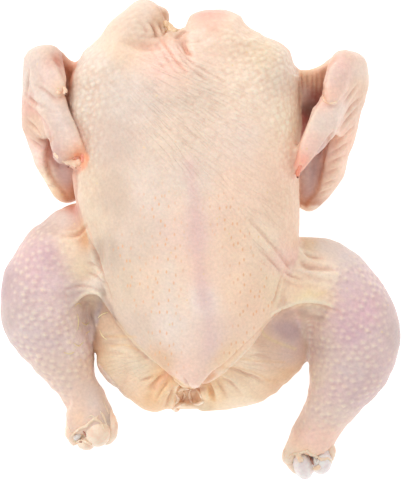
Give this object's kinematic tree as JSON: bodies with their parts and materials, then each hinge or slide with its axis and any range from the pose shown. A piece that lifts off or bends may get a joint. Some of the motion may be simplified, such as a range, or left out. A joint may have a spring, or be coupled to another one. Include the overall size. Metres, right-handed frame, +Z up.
{
  "type": "whole raw chicken",
  "caption": "Whole raw plucked chicken lying on its back, breast up, wings folded at the sides and legs spread, with bare hock knuckles.",
  "frame": {"origin": "on the surface it lies on, below the middle of its bounding box", "axes": "+Y towards the neck end, -Y towards the hocks, +Z up out of the breast, +X to the right as the bird is seen from above with its neck end away from the viewer"},
  "size_m": [0.2372, 0.2872, 0.106],
  "materials": {
    "skin": "pale, moist and slightly translucent raw skin",
    "bone_left": "wet cream cartilage with a pink cast",
    "bone_right": "wet bluish white cartilage"
  },
  "bodies": {
    "root": {"chicken": "skin", "left_leg_bone": "bone_left", "right_leg_bone": "bone_right"}
  },
  "joints": []
}
